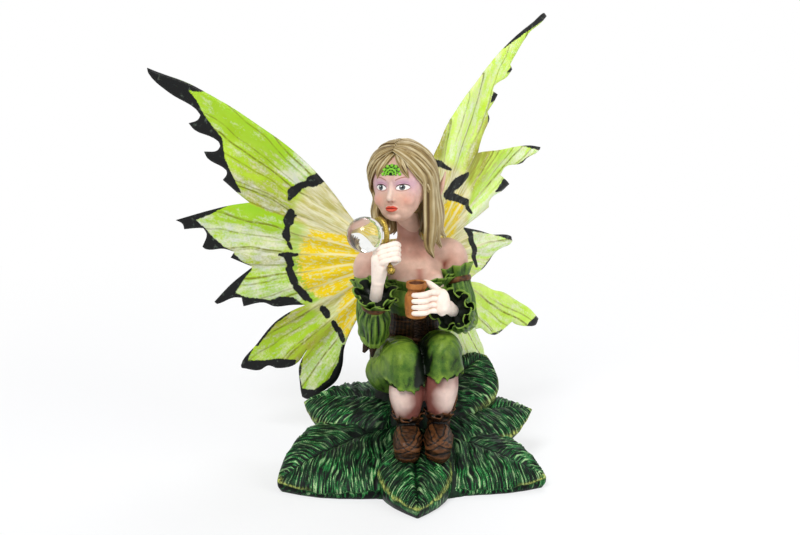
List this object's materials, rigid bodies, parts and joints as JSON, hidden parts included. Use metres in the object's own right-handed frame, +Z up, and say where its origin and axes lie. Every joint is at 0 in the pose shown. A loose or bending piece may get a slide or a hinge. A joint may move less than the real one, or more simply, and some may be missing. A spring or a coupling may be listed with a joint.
{
  "type": "fairy figurine",
  "caption": "Seated fairy figurine on a rosette of carved leaves, with ragged wings plugged into its back, a bubble wand with a clear ball in one hand and a soap pot in the other.",
  "frame": {"origin": "centre of the base's flat underside, on the table", "axes": "+Z up, -Y towards the viewer and the front leaf, +X towards the figure's left hand"},
  "size_m": [0.1301, 0.1029, 0.137],
  "materials": {
    "painted_casting": "hand-painted cast resin, mostly leaf green, with skin, blonde, moss green and brown areas",
    "wing": "lime and yellow paint with black scalloped edges, satin varnish",
    "pale_skin": "hand-painted pale skin, satin",
    "gold": "polished gold colour",
    "clear_ball": "clear, polished",
    "terracotta_paint": "matte orange-tan paint"
  },
  "bodies": {
    "root": {"fairy_casting": "painted_casting", "right_wing": "wing", "left_wing": "wing", "right_hand": "pale_skin", "left_hand": "pale_skin", "bubble_wand": "gold", "bubble_ball": "clear_ball", "soap_pot": "terracotta_paint"}
  },
  "joints": []
}
